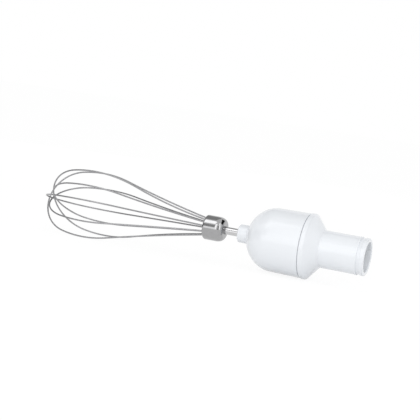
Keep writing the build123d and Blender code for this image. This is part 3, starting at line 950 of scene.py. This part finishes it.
def facing_part(aim, distance):
    """Placement of a lamp or card that lies in a direction from the part and faces it."""
    right, up, back = camera_axes()
    middle = (cad_box[0] + cad_box[1]) / 2
    direction = (aim[0] * right + aim[1] * up + aim[2] * back).normalized()
    turn = direction.to_track_quat("Z", "Y").to_matrix().to_4x4()
    return Matrix.Translation(middle + direction * distance) @ turn


def add_camera(studio):
    """Camera that sees the seam where the photograph has it."""
    data = bpy.data.cameras.new("photo_camera")
    data.sensor_width = SENSOR_WIDTH
    data.lens = studio.lens
    data.clip_start, data.clip_end = CLIP_RANGE
    camera = linked("photo_camera", data)
    right, up, back = camera_axes()
    middle = PHOTO_SIDE / 2
    distance = studio.lens / SENSOR_WIDTH * PHOTO_SIDE * PIXEL_AT_SEAM
    seam = Vector((SEAM_X, 0, 0))
    spot = seam - right * (SEAM_PIXEL[0] - middle) * PIXEL_AT_SEAM
    spot += up * (SEAM_PIXEL[1] - middle) * PIXEL_AT_SEAM + back * distance
    turn = Matrix((right, up, back)).transposed().to_4x4()
    camera.matrix_world = Matrix.Translation(spot) @ turn
    bpy.context.scene.camera = camera


def background_share(tree):
    """One for the rays that show the background: straight to the camera, mirrored or through glass."""
    rays = add_node(tree, "ShaderNodeLightPath").outputs
    share = rays["Is Camera Ray"]
    for kind in ("Is Glossy Ray", "Is Transmission Ray"):
        either = {0: share, 1: rays[kind]}
        share = add_node(tree, "ShaderNodeMath", {"operation": "MAXIMUM"}, either).outputs[0]
    return share


def add_world(studio):
    """Even light from all round, and plain white where the background is seen."""
    world = bpy.data.worlds.new("white_studio")
    tree = empty_tree(world)
    level = add_node(tree, "ShaderNodeMix", {"data_type": "FLOAT"}, {"A": studio.fill, "B": 1.0})
    tree.links.new(background_share(tree), level.inputs["Factor"])
    light = add_node(
        tree, "ShaderNodeBackground", links={"Color": (1, 1, 1, 1), "Strength": level.outputs["Result"]}
    )
    add_node(tree, "ShaderNodeOutputWorld", links={"Surface": light.outputs["Background"]})
    bpy.context.scene.world = world


FLOOR_REACH = 4.0
FLOOR_SEGMENTS = 8
FIBRE_SIZE = 0.8 * MM
PAPER_TONES = (0.9, 0.92)
# How much of the paper is seen as plain white background, and how bright that is
GLOW_SHARE = 0.86
GLOW_LEVEL = 1.04


def add_floor():
    """White paper that keeps a faint shadow under the part."""
    mesh = bmesh.new()
    bmesh.ops.create_grid(mesh, x_segments=FLOOR_SEGMENTS, y_segments=FLOOR_SEGMENTS, size=FLOOR_REACH)
    data = finished_mesh("paper_floor", mesh)
    data.transform(Matrix.Translation((0, 0, GROUND_Z)))
    floor = linked("paper_floor", data)
    material = bpy.data.materials.new("white background paper")
    tree = empty_tree(material)
    place = add_node(tree, "ShaderNodeTexCoord").outputs["Object"]
    fibres = spread(tree, speckle(tree, place, FIBRE_SIZE), 0.0, 1.0)
    grey, pale = ((tone,) * 3 for tone in PAPER_TONES)
    paper = add_node(tree, "ShaderNodeBsdfDiffuse", links={"Color": tinted(tree, fibres, grey, pale)})
    glow = add_node(tree, "ShaderNodeEmission", links={"Color": (1, 1, 1, 1), "Strength": GLOW_LEVEL})
    factors = {0: background_share(tree), 1: GLOW_SHARE}
    share = add_node(tree, "ShaderNodeMath", {"operation": "MULTIPLY"}, factors).outputs[0]
    shaders = {0: share, 1: paper.outputs[0], 2: glow.outputs[0]}
    mixed = add_node(tree, "ShaderNodeMixShader", links=shaders)
    add_node(tree, "ShaderNodeOutputMaterial", links={"Surface": mixed.outputs[0]})
    data.materials.append(material)


def add_softbox(name, placement, width, height, level):
    """Rectangular softbox. Its level is its brightness."""
    data = bpy.data.lights.new(name, "AREA")
    data.shape = "RECTANGLE"
    data.size = width
    data.size_y = height
    data.energy = level * pi * width * height
    light = linked(name, data)
    light.matrix_world = placement
    light.visible_camera = False
    light.visible_glossy = False


def add_card(name, placement, width, height, level):
    """White, grey or black card that only reflections show, as a photographer's reflectors and flags."""
    mesh = bmesh.new()
    bmesh.ops.create_grid(mesh, x_segments=1, y_segments=1, size=0.5)
    data = finished_mesh(name, mesh)
    data.transform(placement @ Matrix.Diagonal((width, height, 1, 1)))
    card = linked(name, data)
    material = bpy.data.materials.new(name)
    tree = empty_tree(material)
    tone = add_node(tree, "ShaderNodeEmission", links={"Color": (1, 1, 1, 1), "Strength": level})
    add_node(tree, "ShaderNodeOutputMaterial", links={"Surface": tone.outputs[0]})
    data.materials.append(material)
    card.visible_camera = False
    card.visible_diffuse = False
    card.visible_transmission = False
    card.visible_shadow = False


class WHISK_PT_panel(bpy.types.Panel):
    """Buttons for the pieces and the studio."""

    bl_idname = "WHISK_PT_panel"
    bl_label = "Whisk attachment"
    bl_space_type = "VIEW_3D"
    bl_region_type = "UI"
    bl_category = "Whisk"

    def draw(self, context):
        scene = context.scene
        for group in (scene.whisk_housing, scene.whisk_sizes, scene.whisk_studio):
            for name in group.bl_rna.properties.keys():
                if name not in ("rna_type", "name"):
                    self.layout.prop(group, name)
        for operator in OPERATORS:
            self.layout.operator(operator.bl_idname)


GROUPS = (WHISK_PG_housing, WHISK_PG_whisk, WHISK_PG_studio)
OPERATORS = (
    WHISK_OT_bell,
    WHISK_OT_cover,
    WHISK_OT_ferrule,
    WHISK_OT_shaft,
    WHISK_OT_wires,
    WHISK_OT_inside,
    WHISK_OT_stage,
)
finishes = {}


def register():
    """Adds the classes and their settings."""
    for group in (*GROUPS, *OPERATORS, WHISK_PT_panel):
        bpy.utils.register_class(group)
    bpy.types.Scene.whisk_housing = PointerProperty(type=WHISK_PG_housing)
    bpy.types.Scene.whisk_sizes = PointerProperty(type=WHISK_PG_whisk)
    bpy.types.Scene.whisk_studio = PointerProperty(type=WHISK_PG_studio)


def unregister():
    """Removes the settings and the classes."""
    del bpy.types.Scene.whisk_studio
    del bpy.types.Scene.whisk_sizes
    del bpy.types.Scene.whisk_housing
    for group in (WHISK_PT_panel, *OPERATORS[::-1], *GROUPS[::-1]):
        bpy.utils.unregister_class(group)


def mix_finishes(scene):
    """Makes each material once."""
    finishes["white_abs"] = white_abs(tuple(scene.whisk_housing.colour))
    finishes["polished_steel"] = polished_steel(tuple(scene.whisk_sizes.polish_colour))
    finishes["ground_steel"] = ground_steel(tuple(scene.whisk_sizes.shaft_colour))
    finishes["drawn_wire"] = drawn_wire(tuple(scene.whisk_sizes.wire_colour))
    finishes["turned_steel"] = turned_steel()
    finishes["sintered_steel"] = powder_metal("sintered steel", linear("#77787A"), 0.12 * MM, 0.5)
    finishes["sintered_bronze"] = powder_metal("sintered bronze", linear("#B08A55"), 0.12 * MM, 0.42)
    finishes["acetal"] = moulded_plastic("natural acetal", linear("#E6E2D6"), 0.38, 1.48, 0.3 * MM)
    finishes["black_nylon"] = moulded_plastic("black nylon", linear("#2A2A2C"), 0.45, 1.53, 0.25 * MM)
    finishes["nitrile"] = moulded_plastic("nitrile rubber", linear("#1D1D1E"), 0.6, 1.52, 0.2 * MM)


def main():
    """Builds the pieces and the studio."""
    register()
    scene = bpy.context.scene
    scene.view_settings.view_transform = "Standard"
    mix_finishes(scene)
    bpy.ops.whisk.bell()
    bpy.ops.whisk.cover()
    bpy.ops.whisk.ferrule()
    bpy.ops.whisk.shaft()
    bpy.ops.whisk.wires()
    bpy.ops.whisk.inside()
    bpy.ops.whisk.stage()


if __name__ == "__main__":
    main()
